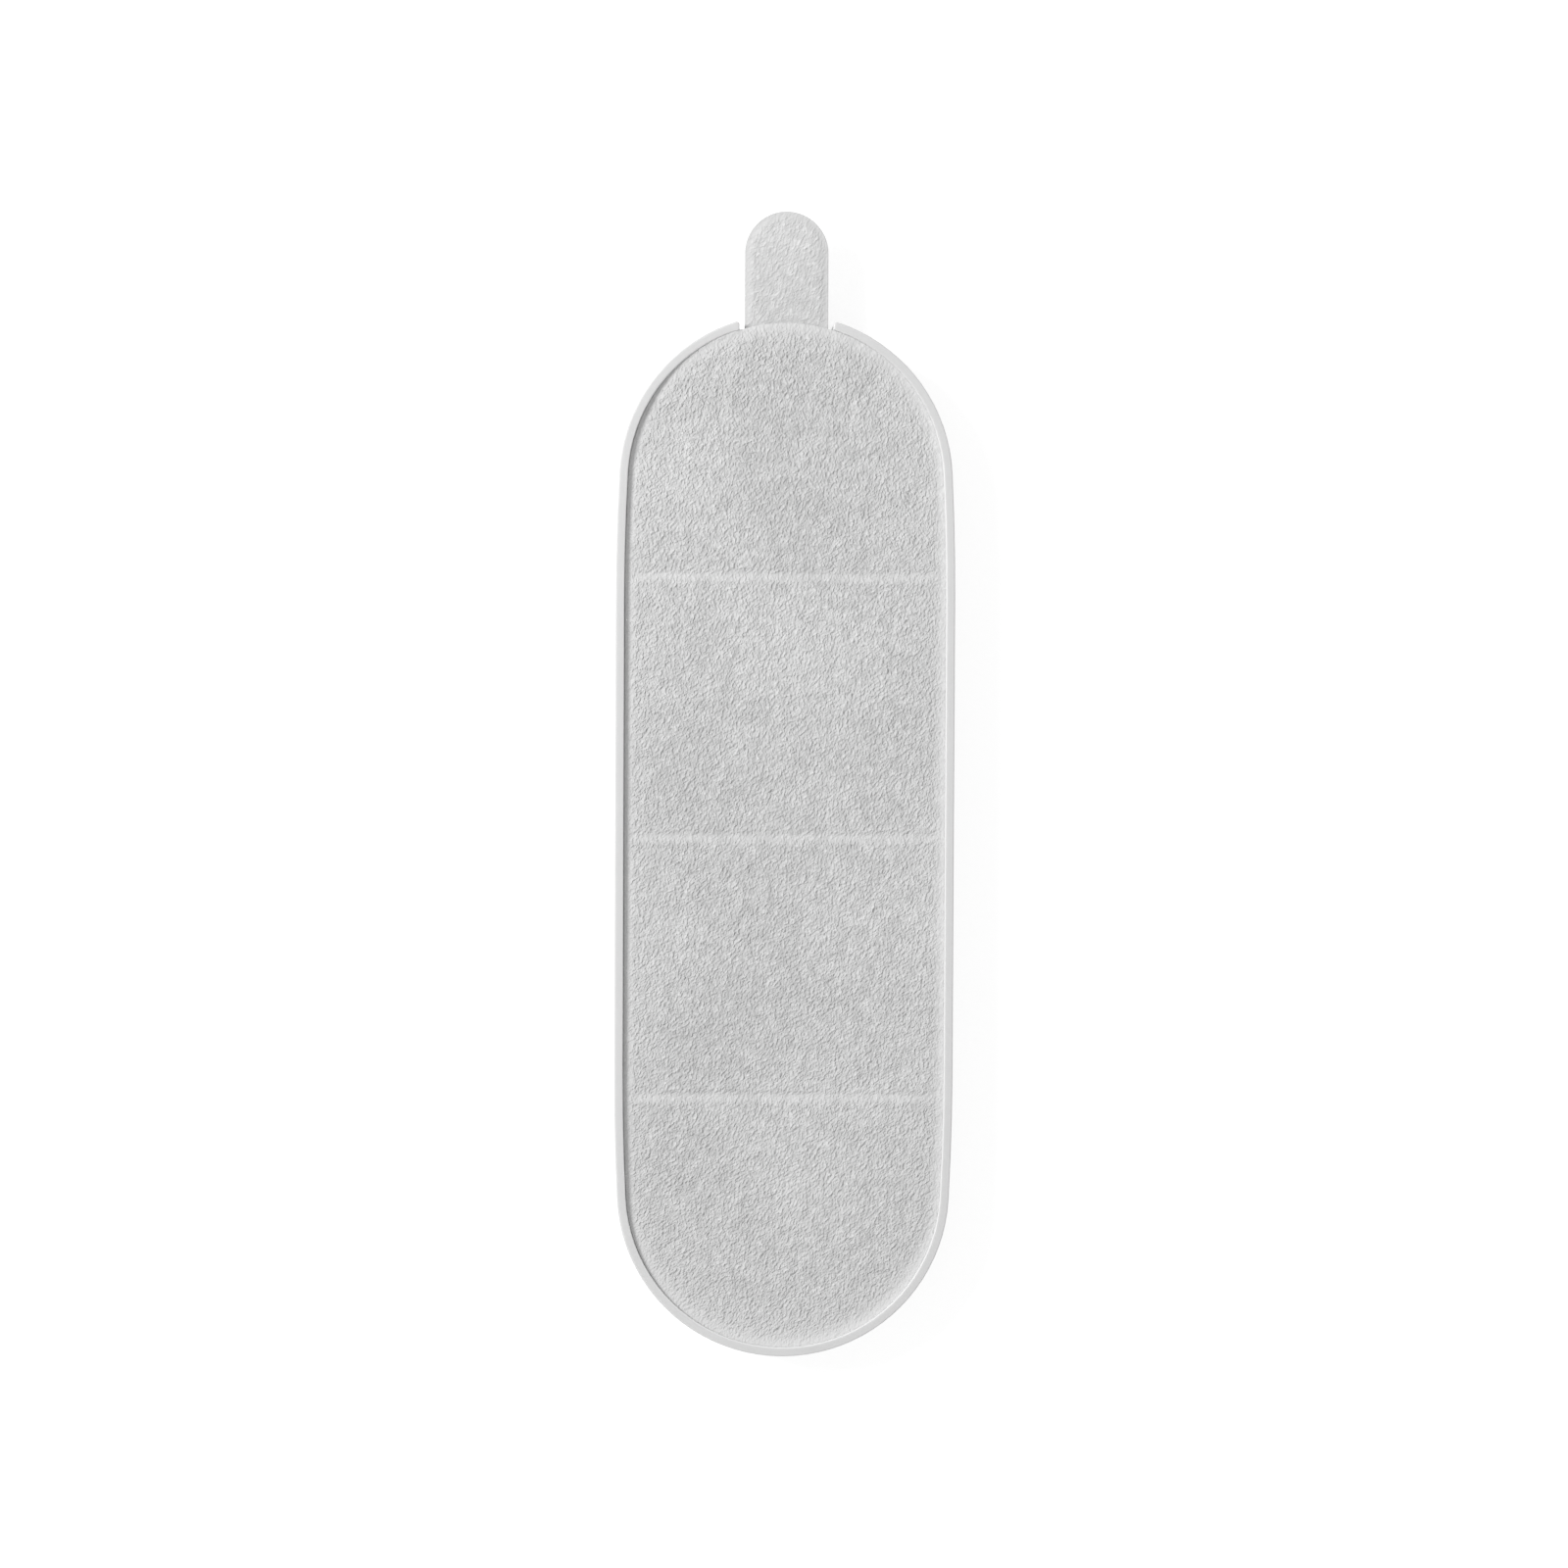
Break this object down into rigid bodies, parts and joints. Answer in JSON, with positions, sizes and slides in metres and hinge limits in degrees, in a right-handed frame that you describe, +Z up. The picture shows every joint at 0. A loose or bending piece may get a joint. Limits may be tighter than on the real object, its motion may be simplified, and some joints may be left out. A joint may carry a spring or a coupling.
{
  "type": "pet fountain filter",
  "caption": "Flat capsule-shaped filter cartridge with a moulded rim, non-woven faces over granule chambers, and a pull tab at one end.",
  "frame": {"origin": "middle of the whole cartridge, pull tab included, on the surface that it lies on", "axes": "+Y along the length towards the pull tab, +Z up out of the front sheet, +X across"},
  "size_m": [0.0488, 0.1648, 0.01],
  "materials": {
    "frame_plastic": "satin",
    "filter_sheet": "matte",
    "tab_sheet": "matte",
    "granules": "matte"
  },
  "bodies": {
    "root": {"frame": "frame_plastic", "front_sheet": "filter_sheet", "back_sheet": "filter_sheet", "pull_tab": "tab_sheet", "granule_bed_1": "granules", "granule_bed_2": "granules", "granule_bed_3": "granules", "granule_bed_4": "granules"}
  },
  "joints": []
}
